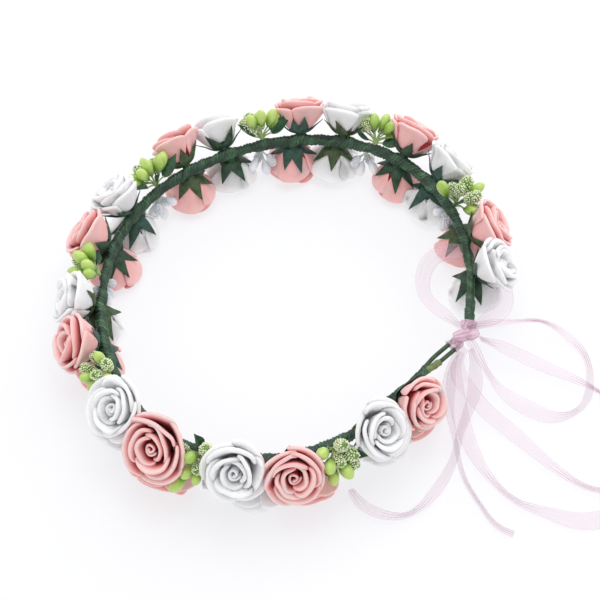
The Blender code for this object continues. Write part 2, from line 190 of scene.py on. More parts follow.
def make_piece(name, points, faces, finish, facts=()):
    """A smooth mesh object; facts are numbers kept on its points for the finish to read."""
    mesh = bpy.data.meshes.new(name)
    mesh.from_pydata(np.asarray(points).tolist(), [], [tuple(int(i) for i in f) for f in faces])
    mesh.materials.append(finish)
    mesh.shade_smooth()
    for key, values in dict(facts).items():
        mesh.attributes.new(key, "FLOAT", "POINT").data.foreach_set("value", np.asarray(values, np.float32))
    made = bpy.data.objects.new(name, mesh)
    bpy.context.scene.collection.objects.link(made)
    return made


def rounded(piece, levels=1):
    modifier = piece.modifiers.new("rounded", "SUBSURF")
    modifier.levels = levels
    modifier.render_levels = levels


wire_green, tree, shader = finish_nodes("green_paper_sleeve", {"Roughness": 0.62})
colour_by(
    tree, shader, grain(tree, 900.0, 3.0), (0.35, (0.018, 0.045, 0.020)), (0.65, (0.050, 0.105, 0.045))
)
raise_grain(tree, shader, grain(tree, 2600.0, 2.0), 0.0001, 0.5)


def leg_offset(along):
    """How far each leg of an eye stands off the wire's line; the two close up under the tape."""
    from_end = np.minimum(along, RING_LENGTH - along)
    open_eye = np.where(along < RING_LENGTH / 2, EYE_LEG_OFFSET * TAPED_EYE_SHARE, EYE_LEG_OFFSET)
    return open_eye * (1 - smooth_step(from_end, EYE_LENGTH * EYE_TAPER_SHARE, EYE_LENGTH + LEG_BLEND))


def eye_end(end_along, sign):
    """The eye at one arm's end, from the spare leg's tip round the bend; sign points back along the wire."""
    half_gap = float(leg_offset(end_along))
    tip = PAPER_WIRE_RADIUS + half_gap
    points = []
    for back in (EYE_LENGTH + LEG_TUCK, *np.linspace(EYE_LENGTH, tip, EYE_LEG_POINTS)):
        along = end_along + sign * back
        points.append(ring_at(along) - ring_out(along) * leg_offset(along))
    along = end_along + sign * tip
    for k in range(1, EYE_BEND_STEPS):
        turn = math.pi * k / EYE_BEND_STEPS
        away = -ring_ahead(along) * sign * math.sin(turn)
        points.append(ring_at(along) + (away - ring_out(along) * math.cos(turn)) * half_gap)
    return points


wire_points = eye_end(0.0, 1)
for along in np.linspace(WIRE_RUN_MARGIN, RING_LENGTH - WIRE_RUN_MARGIN, WIRE_RUN_POINTS):
    wire_points.append(ring_at(along) + ring_out(along) * leg_offset(along))
wire_points += reversed(eye_end(RING_LENGTH, -1))
wire_curve = bpy.data.curves.new("wire", "CURVE")
wire_curve.dimensions = "3D"
wire_curve.bevel_depth = PAPER_WIRE_RADIUS
wire_curve.bevel_resolution = 4
wire_curve.use_fill_caps = True
wire_curve.materials.append(wire_green)
run = wire_curve.splines.new("POLY")
run.points.add(len(wire_points) - 1)
for place, point in zip(run.points, wire_points):
    place.co = (*point, 1.0)
wire = bpy.data.objects.new("wire", wire_curve)
bpy.context.scene.collection.objects.link(wire)
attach(wire, "root")
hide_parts("core_wire")

# -------------------- seats
# Every rose and sprig is a stem laid along the wire and bound in by the tape, so that its head stands
# off the band. Where each stands and which way it points comes from its solid in the frame.
TAPE_RADIUS = 0.0028
STEM_GAP = 0.0017


def seat(name):
    """Where along the wire a head stands, and the way it points."""
    low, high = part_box(name)
    middle = np.array((low + high) / 2)
    along = ring_stations[np.argmin(np.linalg.norm(ring_line - middle, axis=1))]
    towards = middle - ring_at(along)
    ahead = ring_ahead(along)
    return along, unit(towards - ahead * (towards @ ahead))


rose_names = sorted(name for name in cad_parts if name.startswith("rose_"))
green_names = sorted(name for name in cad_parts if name.startswith("sprig_green"))
white_names = sorted(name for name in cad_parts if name.startswith("sprig_white"))
seats = {name: seat(name) for name in rose_names + green_names + white_names}

# -------------------- floral tape
# Waxed crepe-paper tape, wound on at a slant from one arm to the other over the wire and the stems. It
# swells where a stem goes in, each turn's edge stands up a little, and pulling has crinkled it.
TAPE_PITCH = 0.0090
TAPED_EYE_START = 0.0036
TAPE_STEP = 0.00042
TAPE_SIDES = 44
TAPE_EDGE = 0.00050
STEM_SWELL = 0.0015
TAPE_END_BLEND = 0.026
TAPE_WALL = 0.0003
WOUND_RADIUS = TAPE_RADIUS * 0.80
LUMP_HEIGHT = 0.00075
# The share of a turn in which its raised edge drops away. Then how far the crinkles rise at the eye, and
# how much further on the band.
EDGE_SHARE = 0.06
EYE_CRINKLE = 0.00010
BAND_CRINKLE = 0.00014
# How far the swelling over a stem runs each way, then how far on, how long and how high its tail is.
STEM_RUN = 0.0042
STEM_TAIL_AT = 0.010
STEM_TAIL_RUN = 0.009
STEM_TAIL_SWELL = 0.00045
SPRIG_STEM_SHARE = 0.6


def soft_noise(points, seed):
    """Smooth noise from -1 to 1 at each of the points, one lattice step to a unit."""
    base = np.floor(points).astype(np.int64)
    inside = points - base
    inside = inside * inside * (3 - 2 * inside)
    total = np.zeros(points.shape[:-1])
    for corner in range(8):
        offset = np.array((corner & 1, corner >> 1 & 1, corner >> 2 & 1))
        cell = base + offset
        mixed = cell[..., 0] * 73856093 ^ cell[..., 1] * 19349663 ^ cell[..., 2] * 83492791
        mixed = mixed ^ seed * 2654435761
        mixed = (mixed ^ mixed >> 13) * 1274126177 & 0xFFFFFFFF
        value = (mixed >> 8 & 0xFFFF) / 32767.5 - 1.0
        total += value * np.prod(np.where(offset, inside, 1 - inside), axis=-1)
    return total


def skin_grid(stations, sides):
    """Each station along a skin with each angle round it."""
    return np.meshgrid(stations, np.arange(sides) * 2 * math.pi / sides, indexing="ij")


def sleeve_faces(rings, sides):
    """Faces of a swept skin with closed ends."""
    r, i = np.meshgrid(np.arange(rings - 1), np.arange(sides), indexing="ij")
    j = (i + 1) % sides
    faces = np.stack([r * sides + i, r * sides + j, (r + 1) * sides + j, (r + 1) * sides + i], axis=-1)
    faces = [tuple(f) for f in faces.reshape(-1, 4)]
    last = (rings - 1) * sides
    return faces + [tuple(reversed(range(sides))), tuple(last + k for k in range(sides))]


tape_green, tree, shader = finish_nodes(
    "waxed_crepe_tape",
    {"Roughness": 0.42, "Specular IOR Level": 0.55, "Coat Weight": 0.05, "Coat Roughness": 0.35},
)
# Colour by ridge height: raised edges, crinkles and lumps get a painted highlight, the hollows painted shade,
# and noise adds uneven tone.
colour_by(
    tree, shader, uneven_fact(tree, "ridge_light_and_shade", grain(tree, 170.0, 4.0), 0.75),
    (0.25, (0.004, 0.014, 0.008)), (0.52, (0.014, 0.052, 0.024)),
    (0.78, (0.040, 0.120, 0.050)), (1.0, (0.17, 0.29, 0.16)),
)
raise_grain(tree, shader, grain(tree, 1100.0, 5.0, (1.0, 1.0, 0.6)), 0.0005, 0.9)

tape_along = np.arange(TAPED_EYE_START, RING_LENGTH - EYE_LENGTH + 0.001, TAPE_STEP)
along, angle = skin_grid(tape_along, TAPE_SIDES)
on_skin = np.stack([np.cos(angle), np.sin(angle), along / 0.005], axis=-1)
wander = soft_noise(on_skin * (1.0, 1.0, 0.35), 3)
turns = along / TAPE_PITCH - angle / (2 * math.pi) + 0.16 * wander
covered = turns - np.floor(turns)
edge = np.where(covered > 1 - EDGE_SHARE, (1 - covered) / EDGE_SHARE, covered / (1 - EDGE_SHARE))
# Lengthways folds: how many to a turn, how strong and where each set starts.
crinkle = sum(
    size * np.sin(2 * math.pi * count * turns + phase + 2.2 * soft_noise(on_skin * (1.3, 1.3, 0.8), count))
    for count, size, phase in ((2, 0.5, 0.3), (5, 0.8, 1.9), (9, 0.6, 4.0), (14, 0.4, 2.2))
)
lumps = soft_noise(on_skin * (0.9, 0.9, 0.6), 11)
from_end = np.minimum(along, RING_LENGTH - along)
full = smooth_step(from_end, EYE_LENGTH + LEG_BLEND, EYE_LENGTH + TAPE_END_BLEND)
slim = PAPER_WIRE_RADIUS + TAPE_WALL
half_wide = slim + leg_offset(along) + (WOUND_RADIUS - slim) * full
half_high = slim + (WOUND_RADIUS - slim) * full
skin = 1 / np.sqrt((np.cos(angle) / half_wide) ** 2 + (np.sin(angle) / half_high) ** 2)
skin = skin + TAPE_EDGE * (edge - 0.5) + (EYE_CRINKLE + BAND_CRINKLE * full) * crinkle
skin = skin + LUMP_HEIGHT * lumps * full
for name, (stem_along, axis) in seats.items():
    rise = math.atan2(axis[2], axis @ ring_out(stem_along))
    facing = np.clip(np.cos(angle - rise), 0.0, 1.0) ** 2
    near = np.exp(-(((along - stem_along) / STEM_RUN) ** 2))
    tail = np.exp(-(((along - stem_along - STEM_TAIL_AT) / STEM_TAIL_RUN) ** 2))
    share = 1.0 if name.startswith("rose") else SPRIG_STEM_SHARE
    skin = skin + share * facing * (STEM_SWELL * near + STEM_TAIL_SWELL * tail)
from_cut = np.minimum(along - tape_along[0], tape_along[-1] - along)
closing = smooth_step(from_cut, 0.0, 0.0016)
skin = skin * (0.55 + 0.45 * closing)
across = ring_out(tape_along)[:, None, :] * np.cos(angle)[..., None] + UP * np.sin(angle)[..., None]
tape_points = ring_at(tape_along)[:, None, :] + across * skin[..., None]
# How high each point rides, for the painted highlight on the ridges and the painted shade in the hollows.
painted_ridge_light = np.clip(0.02 + 0.30 * edge + 0.16 * crinkle + 0.14 * lumps, 0.0, 1.0)
tape = make_piece(
    "floral_tape", tape_points.reshape(-1, 3), sleeve_faces(len(tape_along), TAPE_SIDES), tape_green,
    {"ridge_light_and_shade": painted_ridge_light.ravel()},
)
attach(tape, "root")
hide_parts("tape_wrap")

# The tape's cut end, a paler scrap wound twice round one leg of the lower eye.
SCRAP_START = -0.0015
SCRAP_END = 0.0070
SCRAP_PITCH = 0.0042
SCRAP_RINGS = 30
SCRAP_SIDES = 24
scrap_green, tree, shader = finish_nodes("olive_tape_scrap", {"Roughness": 0.5})
colour_by(tree, shader, grain(tree, 420.0, 4.0), (0.3, (0.10, 0.14, 0.045)), (0.7, (0.24, 0.29, 0.11)))
raise_grain(tree, shader, grain(tree, 1600.0, 3.0), 0.0002, 0.6)
eye_foot = RING_LENGTH - EYE_LENGTH
scrap_along = np.linspace(eye_foot + SCRAP_START, eye_foot + SCRAP_END, SCRAP_RINGS)
along, angle = skin_grid(scrap_along, SCRAP_SIDES)
wound = along / SCRAP_PITCH - angle / (2 * math.pi)
wound = wound - np.floor(wound)
skin = PAPER_WIRE_RADIUS + 0.00045 + 0.00035 * wound
skin = skin * np.where((along == scrap_along[0]) | (along == scrap_along[-1]), 0.75, 1.0)
across = ring_out(scrap_along)[:, None, :] * np.cos(angle)[..., None] + UP * np.sin(angle)[..., None]
leg = ring_at(scrap_along) + ring_out(scrap_along) * leg_offset(scrap_along)[:, None]
scrap_points = (leg[:, None, :] + across * skin[..., None]).reshape(-1, 3)
scrap = make_piece("tape_scrap", scrap_points, sleeve_faces(SCRAP_RINGS, SCRAP_SIDES), scrap_green)
rounded(scrap)
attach(scrap, "root")

# -------------------- foam roses
# Each rose is cut from soft foam sheet a millimetre thick. A rolled core sits in a cup of two petals,
# then come three, three and four more, glued at the foot and curled over a hot ball, which swells their
# lips to nearly twice that. The pink foam is dyed deep salmon in the hearts and left pale at the lips,
# and deeper in the rose its colour also carries painted shade; the white foam's greys there are painted shade
# only.
FOAM_FOOT = 0.9
FOAM_LIP = 1.85
# Petals of each ring: how many, their reach in degrees, the rim's radius and height in millimetres, how
# far one side tucks in, how far the lip rolls out, and how much the petal is folded flat.
PETAL_RINGS = (
    (2, 202, 5.5, 17.2, 1.0, 0.4, 0.16),
    (3, 138, 8.4, 18.2, 1.3, 0.8, 0.42),
    (3, 134, 11.0, 16.9, 1.3, 1.5, 0.46),
    (4, 104, 12.8, 13.8, 1.1, 2.0, 0.38),
)
PETAL_COLUMNS = 15
PETAL_ROWS = 11
PETAL_FOOT_RADIUS = 1.2
PETAL_WAVE = 0.55
# How far up a petal its lip begins to roll out, as a share of the petal.
LIP_START = 0.66
CORE_THICKNESS = 1.25
# The glued middle that the petals stand round, as heights and radii in millimetres.
HEART_PROFILE = ((0.0, 1.8), (2.0, 4.4), (5.0, 6.0), (7.6, 5.2), (9.0, 2.4))


def thick_sheet(grid, thickness):
    """A closed sheet from a grid of points (rows of columns), half its thickness on either side."""
    along_rows, along_columns = np.gradient(grid, axis=0), np.gradient(grid, axis=1)
    normal = unit(np.cross(along_columns, along_rows))
    half = np.asarray(thickness)[..., None] / 2 * normal
    rows, columns = grid.shape[:2]
    points = np.concatenate([(grid + half).reshape(-1, 3), (grid - half).reshape(-1, 3)])
    r, c = np.meshgrid(np.arange(rows - 1), np.arange(columns - 1), indexing="ij")
    corner = (r * columns + c).ravel()
    front = np.stack([corner, corner + 1, corner + columns + 1, corner + columns], axis=-1)
    back = front[:, ::-1] + rows * columns
    border = [c for c in range(columns)] + [r * columns + columns - 1 for r in range(1, rows)]
    border += [(rows - 1) * columns + c for c in range(columns - 2, -1, -1)]
    border += [r * columns for r in range(rows - 2, 0, -1)]
    border = np.array(border)
    following = np.roll(border, -1)
    rim = np.stack([border + rows * columns, following + rows * columns, following, border], axis=-1)
    return points, np.concatenate([front, back, rim])


def join_parts(parts):
    """Joins (points, faces, facts) of several closed shapes; facts is one number for each point."""
    points, faces, facts, start = [], [], [], 0
    for part_points, part_faces, part_facts in parts:
        points.append(part_points)
        faces += [tuple(int(i) + start for i in face) for face in part_faces]
        facts.append(np.broadcast_to(part_facts, len(part_points)))
        start += len(part_points)
    return np.concatenate(points), faces, np.concatenate(facts)


def turned_form(profile, sides):
    """A closed turned shape from (height, radius) pairs."""
    angle = np.arange(sides) * 2 * math.pi / sides
    rings = [np.stack([r * np.cos(angle), r * np.sin(angle), np.full(sides, h)], axis=-1) for h, r in profile]
    return np.concatenate(rings), sleeve_faces(len(profile), sides)


def foam_petal(middle, reach, rim_radius, rim_height, tuck, lip, folded, last, rng):
    """One petal, in millimetres, with how deep each of its points lies in the rose, for its dye and painted
    shade.
    """
    u, t = np.meshgrid(np.linspace(-1, 1, PETAL_COLUMNS), np.linspace(0, 1, PETAL_ROWS) ** 0.85)
    risen = t * (1 - 0.16 * np.abs(u) ** 3.0)
    width = 0.50 + 0.50 * np.sin(np.clip(t * 1.25, 0, 1) * math.pi / 2)
    bent = math.radians(reach) / 2 * u * width
    angle = middle + bent
    seed = int(rng.integers(1, 10**6))
    wave = np.stack([np.cos(angle) * 1.5, np.sin(angle) * 1.5, t * 0.8 + middle], axis=-1)
    rolled = np.clip((risen - LIP_START) / (1 - LIP_START), 0, 1) ** 2
    off_middle = bent - rng.uniform(-0.25, 0.25)
    straight = 1 / np.cos(np.clip(np.abs(off_middle), 0, 0.86)) - 1
    radius = PETAL_FOOT_RADIUS + (rim_radius * (1 - folded * 0.22) - PETAL_FOOT_RADIUS) * risen**0.50
    radius = radius * (1 + folded * straight * risen) + tuck * u * risen
    radius += rolled * lip * (0.45 + 0.55 * (1 - np.abs(u) ** 2)) * rng.uniform(0.7, 1.2)
    radius += PETAL_WAVE * soft_noise(wave, seed) * risen
    height = rim_height * (0.02 + 0.98 * risen**1.15) - rolled * lip * 0.55
    height += (PETAL_WAVE * soft_noise(wave * 1.3, seed + 1) + rng.uniform(-0.9, 0.9) * u) * risen**2
    grid = np.stack([radius * np.cos(angle), radius * np.sin(angle), height], axis=-1)
    points, faces = thick_sheet(grid, FOAM_FOOT + (FOAM_LIP - FOAM_FOOT) * risen)
    # How deep each face lies, for the dye and the painted shade: inner faces darken below the lip, outer ones
    # towards the foot.
    side = smooth_step(np.abs(u), 0.82, 1.0) * 0.4
    inner = np.clip(1 - smooth_step(risen, LIP_START, 0.97) - side, 0, 1)
    outer = 0.22 + 0.78 * (1 - smooth_step(risen, LIP_START, 0.93))
    if last:
        outer = 0.30 * (1 - 0.5 * risen)
    return points, faces, np.concatenate([np.clip(outer, 0, 1).ravel(), inner.ravel()])


def foam_core(rng):
    """The rolled middle, a strip wound a turn and a third, sunk below the cup's rim."""
    u, t = np.meshgrid(np.linspace(0, 1, 40), np.linspace(0, 1, 8))
    angle = rng.uniform(0, 2 * math.pi) + u * 2 * math.pi * rng.uniform(1.25, 1.5)
    radius = (0.5 + 2.2 * u) * (0.80 + 0.20 * t) + 0.30 * smooth_step(t, 0.75, 1.0)
    height = (15.2 - 0.8 * u + 0.45 * np.sin(angle * 2.0)) * (0.25 + 0.75 * t)
    grid = np.stack([radius * np.cos(angle), radius * np.sin(angle), height], axis=-1)
    points, faces = thick_sheet(grid, np.full(u.shape, CORE_THICKNESS))
    # The core lies deep, so it takes the darkest dye and painted shade, lighter only at its top.
    dye_and_shade_depth = np.clip(1 - smooth_step(t, 0.82, 1.0) * 0.95, 0, 1)
    return points, faces, np.concatenate([dye_and_shade_depth.ravel(), dye_and_shade_depth.ravel()])


# The upper roses that have opened more or less than the rest, by their number from the tie.
UPPER_OPENING = {11: 1.02, 13: 1.08, 14: 1.20, 15: 1.06, 16: 0.96, 17: 1.04, 18: 0.94}


def foam_rose(opening, rng):
    """All the foam of one rose, standing on its foot, in millimetres."""
    parts = [(*turned_form(HEART_PROFILE, 16), 1.0), foam_core(rng)]
    open_out = opening * rng.uniform(0.97, 1.03)
    start = rng.uniform(0, 2 * math.pi)
    for ring, (count, reach, radius, height, tuck, lip, folded) in enumerate(PETAL_RINGS):
        start += math.radians(rng.uniform(35, 80))
        last = ring == len(PETAL_RINGS) - 1
        for k in range(count):
            middle = start + 2 * math.pi * k / count + rng.normal(0, 0.10)
            wide = radius * (1 + (open_out - 1) * (ring + 1) / 3) * rng.uniform(0.95, 1.05)
            tall = height * rng.uniform(0.955, 1.04)
            fold = folded * rng.uniform(0.2, 1.5)
            parts.append(foam_petal(middle, reach, wide, tall, tuck, lip, fold, last, rng))
    points, faces, dye_and_shade_depth = join_parts(parts)
    lean = rng.normal(0, 0.045, 2)
    points = points + np.outer(points[:, 2], (*lean, 0.0))
    oval = rng.uniform(0, math.pi)
    along = points[:, 0] * math.cos(oval) + points[:, 1] * math.sin(oval)
    stretch = rng.uniform(-0.05, 0.05)
    points = points + np.outer(along * stretch, (math.cos(oval), math.sin(oval), 0.0))
    return points, faces, dye_and_shade_depth


def placed(points_mm, foot, axis, ahead, roll=0.0):
    """Points in millimetres about a foot, taken to where the piece stands in the frame."""
    side = np.cross(axis, ahead)
    x = ahead * math.cos(roll) + side * math.sin(roll)
    y = np.cross(axis, x)
    return foot + (points_mm * 0.001) @ np.stack([x, y, axis])


def pressed(points):
    """Petals near the table give way, so that the crown's weight lies on their flattened lips."""
    floor, give = 0.0003, 0.0030  # what is left under a pressed lip, and the height it starts from
    low = points[:, 2] < give
    points[low, 2] = floor + (give - floor) * np.exp((points[low, 2] - give) / (give - floor))
    return points


def foam_finish(name, deep_dye_and_shade_colour, middle_colour, lip_colour, bleed, bleed_weight, bleed_reach):
    """Matt foam that lets some light through, coloured by how deep in the rose it lies, darker deeper in as
    dye and painted shade.
    """
    finish, tree, shader = finish_nodes(
        name,
        {
            "Roughness": 0.75, "Specular IOR Level": 0.22, "Sheen Weight": 0.12,
            "Subsurface Weight": bleed_weight, "Subsurface Radius": bleed, "Subsurface Scale": bleed_reach,
        },
    )
    dye_and_shade_depth = uneven_fact(tree, "dye_and_shade_depth", grain(tree, 260.0, 3.0), 0.16)
    colour_by(tree, shader, dye_and_shade_depth, (0.10, lip_colour), (0.42, middle_colour), (1.0, deep_dye_and_shade_colour))
    raise_grain(tree, shader, grain(tree, 3200.0, 3.0), 0.00012, 0.35)
    return finish


foam_finishes = {
    "pink": foam_finish(
        "pink_foam", (0.46, 0.030, 0.040), (0.86, 0.36, 0.345), (0.93, 0.69, 0.67),
        (1.0, 0.45, 0.42), 0.40, 0.0018,
    ),
    # The white foam's greys in the deep parts are painted shade.
    "white": foam_finish(
        "white_foam", (0.88, 0.88, 0.90), (0.91, 0.91, 0.92), (0.93, 0.93, 0.935),
        (1.0, 1.0, 1.0), 0.85, 0.0045,
    ),
}

for number, name in enumerate(rose_names):
    colour = name.rsplit("_", 1)[1]
    along, axis = seats[name]
    foot = ring_at(along) + axis * (TAPE_RADIUS + STEM_GAP)
    rng = np.random.default_rng(500 + number)
    opening = UPPER_OPENING.get(int(name.split("_")[2]), 1.0) if "upper" in name else 1.0
    points, faces, dye_and_shade_depth = foam_rose(opening, rng)
    points = pressed(placed(points, foot, axis, ring_ahead(along), rng.uniform(0, 2 * math.pi)))
    piece_name = name.replace("rose_", "foam_rose_")
    rose = make_piece(piece_name, points, faces, foam_finishes[colour], {"dye_and_shade_depth": dye_and_shade_depth})
    rounded(rose)
    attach(rose, "root")
    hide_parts(name)

# -------------------- calyxes
# A die-cut star of stiff green paper is threaded on each rose's stem and cupped round its foot. The
# points hug the petals and then spring free at their tips.
SEPAL_LENGTH = 10.0
SEPAL_HALF_WIDTH = 3.3
SEPAL_THICKNESS = 0.32
SEPAL_FOOT = -0.8
# The side of the rose that the sepals hug, by its width and height, and where they leave the stem.
ROSE_SIDE_RADIUS = 11.6
ROSE_SIDE_HEIGHT = 13.0
SEPAL_FOOT_RADIUS = 2.3
# The tube under the star and the cup above it, as heights and radii in millimetres.
CALYX_PROFILE = ((-3.4, 2.1), (-1.2, 1.9), (-0.7, 2.7), (0.4, 4.4), (1.6, 6.2), (2.0, 6.0))
CALYX_SIDES = 18


def sepal(turn, rng):
    """One point of the star, in millimetres from the rose's foot."""
    u, t = np.meshgrid(np.linspace(-1, 1, 5), np.linspace(0, 1, 9))
    reach = SEPAL_LENGTH * rng.uniform(0.85, 1.1)
    free = rng.uniform(0.6, 2.6)
    height = SEPAL_FOOT + reach * 0.82 * t**1.25
    risen = np.clip(height - SEPAL_FOOT, 0, None) / ROSE_SIDE_HEIGHT
    radius = SEPAL_FOOT_RADIUS + ROSE_SIDE_RADIUS * risen**0.52 + free * smooth_step(t, 0.55, 1.0)
    half = np.sin(np.clip(0.22 + 0.78 * (1 - t), 0, 1) * math.pi / 2) * (1 - t**3.2)
    half = SEPAL_HALF_WIDTH * half + 0.08
    folded = 0.35 * np.abs(u) * half
    angle = turn + rng.normal(0, 0.12) * t
    across = np.stack([-np.sin(angle), np.cos(angle), np.zeros_like(angle)], axis=-1)
    outwards = np.stack([np.cos(angle), np.sin(angle), np.zeros_like(angle)], axis=-1)
    grid = outwards * (radius - folded * 0.4 - 0.045 * (u * half) ** 2)[..., None]
    grid = grid + across * (u * half)[..., None] + UP * (height + folded * 0.25)[..., None]
    return thick_sheet(grid, np.full(u.shape, SEPAL_THICKNESS))


def leaf_finish(name, dark, light):
    """Stiff waxed paper, mottled from dark to light, with a fine lengthways grain."""
    finish, tree, shader = finish_nodes(
        name, {"Roughness": 0.55, "Subsurface Weight": 0.08, "Subsurface Scale": 0.0008}
    )
    colour_by(tree, shader, grain(tree, 380.0, 4.0), (0.32, dark), (0.70, light))
    raise_grain(tree, shader, grain(tree, 1800.0, 3.0, (1.0, 1.0, 0.4)), 0.00015, 0.5)
    return finish


calyx_finishes = (
    leaf_finish("calyx_teal", (0.006, 0.030, 0.022), (0.030, 0.105, 0.070)),
    leaf_finish("calyx_green", (0.006, 0.024, 0.011), (0.026, 0.082, 0.032)),
    leaf_finish("calyx_olive", (0.018, 0.036, 0.012), (0.070, 0.120, 0.038)),
)
for number, name in enumerate(rose_names):
    along, axis = seats[name]
    foot = ring_at(along) + axis * (TAPE_RADIUS + STEM_GAP)
    rng = np.random.default_rng(900 + number)
    points_of_star = 5 + number % 2
    parts = [(*turned_form(CALYX_PROFILE, CALYX_SIDES), 0.0)]
    for k in range(points_of_star):
        parts.append((*sepal(2 * math.pi * (k + rng.uniform(-0.12, 0.12)) / points_of_star, rng), 0.0))
    points, faces = join_parts(parts)[:2]
    points = pressed(placed(points, foot, axis, ring_ahead(along), rng.uniform(0, 2 * math.pi)))
    finish = calyx_finishes[(number * 7 + 1) % len(calyx_finishes)]
    calyx = make_piece(name.replace("rose_", "calyx_"), points, faces, finish)
    rounded(calyx)
    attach(calyx, "root")

# -------------------- green sprigs
# Little bunches of plastic buds on thin green wires. Some buds are smooth drops, some are rolled in
# glass beads like sugar, and a small paper leaf or two is bound in beside them.
#
# What each bunch holds: kind, lean along the wire and lean outwards in degrees, reach in millimetres
# to the middle of the head, and size, which BUNCH_SIZE makes larger or smaller for all.
GREEN_BUNCHES = (
    (("bud", 26, -62, 14, 1.15), ("sugar", -20, 2, 12, 1.2), ("sugar", 22, 4, 12, 1.25),
     ("bud", 0, 14, 14.5, 1), ("sugar", -46, 20, 11, 1.1), ("sugar", 8, -24, 10.5, 1),
     ("bud", -52, -8, 12, 0.95), ("leaf", -40, -42, 11, 1.2), ("leaf", 50, 20, 10, 1),
     ("sugar", 34, -34, 9.5, 0.9)),
    (("bud", -44, -4, 15, 1.05), ("bud", -26, -14, 14, 1), ("bud", -8, 4, 13.5, 1), ("bud", 12, -4, 12.5, 1),
     ("sugar", 36, 4, 12, 1), ("sugar", 50, 14, 12.5, 1), ("bud", 26, 20, 11.5, 0.95),
     ("sugar", -6, 22, 10.5, 0.95), ("bud", -40, 18, 11, 0.9), ("leaf", -56, 0, 12, 1.3),
     ("leaf", 58, -8, 10, 1)),
    (("sugar", 20, 6, 11, 1.45), ("sugar", -4, 24, 10.5, 1.15), ("bud", -24, -8, 14, 1.1),
     ("bud", 0, -16, 15, 1.1), ("bud", 20, -20, 15.5, 1.05), ("sugar", 38, 18, 11, 1.1),
     ("bud", -40, 8, 12, 1), ("leaf", -52, -10, 14, 1.3), ("leaf", 48, 0, 10.5, 1)),
    (("bud", 46, 2, 14, 1.05), ("bud", 26, -12, 14, 1.1), ("bud", 4, -4, 13, 1.1),
     ("bud", -20, -12, 13, 1.1), ("bud", -40, 4, 13.5, 1.05), ("sugar", 16, 20, 11.5, 1.1),
     ("bud", -8, 26, 12, 1), ("sugar", -32, 26, 11, 1), ("bud", 40, 26, 12.5, 1), ("leaf", 58, -8, 13, 1.1),
     ("leaf", -58, -10, 13, 1.2), ("leaf", 12, -40, 11, 1)),
    (("bud", -36, -2, 13.5, 1.2), ("bud", -12, 6, 13, 1.1), ("sugar", -20, 28, 12, 1.05),
     ("bud", 12, -14, 11, 1.1), ("bud", 34, -20, 12, 1.05), ("bud", 12, 28, 12, 1), ("bud", 34, 12, 12, 1),
     ("leaf", -56, 10, 12, 1.1)),
    (("bud", -22, -16, 12, 0.95), ("sugar", 6, -24, 12, 1.05), ("sugar", 14, 2, 13, 1),
     ("bud", 32, -12, 12.5, 1), ("sugar", 46, -22, 11.5, 1.1), ("sugar", -26, 26, 12, 1),
     ("bud", -6, 32, 12, 0.95), ("bud", 24, 30, 12, 0.9), ("sugar", 40, 16, 12.5, 1),
     ("leaf", 54, -34, 11.5, 1.1), ("sugar", -44, -2, 11, 0.95)),
    (("sugar", -38, -14, 12, 0.95), ("bud", -6, -2, 13, 1.05), ("sugar", 18, -24, 12, 1.15),
     ("sugar", 32, 4, 12.5, 1.15), ("bud", -14, 36, 11.5, 1.05), ("bud", 12, 42, 12.5, 0.9),
     ("sugar", 10, 20, 11, 1), ("bud", -40, 62, 16, 1.2), ("leaf", -6, -38, 11.5, 1.1),
     ("leaf", 52, -14, 12.5, 1.2), ("leaf", 44, 30, 12, 1)),
    (("bud", -34, -18, 12, 1.1), ("bud", -26, 12, 13.5, 1.1), ("sugar", 8, -20, 11.5, 1.15),
     ("sugar", 22, 8, 11.5, 1.15), ("bud", 4, 34, 13, 1.15), ("bud", -28, 44, 13.5, 1),
     ("sugar", -4, 12, 10.5, 1.05), ("sugar", 26, 32, 12, 1), ("leaf", 46, 24, 12, 1.1),
     ("leaf", -40, -36, 10, 1)),
)
BUNCH_SIZE = 1.2
# Half a bud's outline from its foot to its tip, as heights and radii in millimetres.
BUD_PROFILE = (
    (-4.1, 0.32), (-3.7, 0.70), (-2.7, 1.30), (-1.2, 1.90), (0.5, 2.25),
    (2.0, 2.15), (3.1, 1.65), (3.9, 0.90), (4.3, 0.25),
)
BEADS_ON_DROP = 110
BEAD_RADIUS = 0.36
DROP_CORE_SHARE = 0.86
LEAF_HALF_WIDTH = 2.1
LEAF_LENGTH = 10
LEAF_THICKNESS = 0.28
STEM_RADIUS = 0.42
STEM_STEP = 0.8
STEM_SIDES = 7


def bead_shape():
    """A small round bead of 42 corners."""
    golden = (1 + 5**0.5) / 2
    corners = [(-1, golden, 0), (1, golden, 0), (-1, -golden, 0), (1, -golden, 0)]
    corners = corners + [(z, x, y) for x, y, z in corners] + [(y, z, x) for x, y, z in corners]
    corners = [unit(np.array(c, float)) for c in corners]
    longest_edge = 1.2
    faces = [
        (a, b, c)
        for a in range(12)
        for b in range(a + 1, 12)
        for c in range(b + 1, 12)
        if max(np.linalg.norm(corners[i] - corners[j]) for i, j in ((a, b), (b, c), (a, c))) < longest_edge
    ]
    split, small = {}, []
    for a, b, c in faces:
        if np.cross(corners[b] - corners[a], corners[c] - corners[a]) @ corners[a] < 0:
            b, c = c, b
        middles = []
        for i, j in ((a, b), (b, c), (c, a)):
            key = (min(i, j), max(i, j))
            if key not in split:
                split[key] = len(corners)
                corners.append(unit(corners[i] + corners[j]))
            middles.append(split[key])
        ab, bc, ca = middles
        small += [(a, ab, ca), (b, bc, ab), (c, ca, bc), (ab, bc, ca)]
    return np.array(corners), np.array(small)


bead_points, bead_faces = bead_shape()


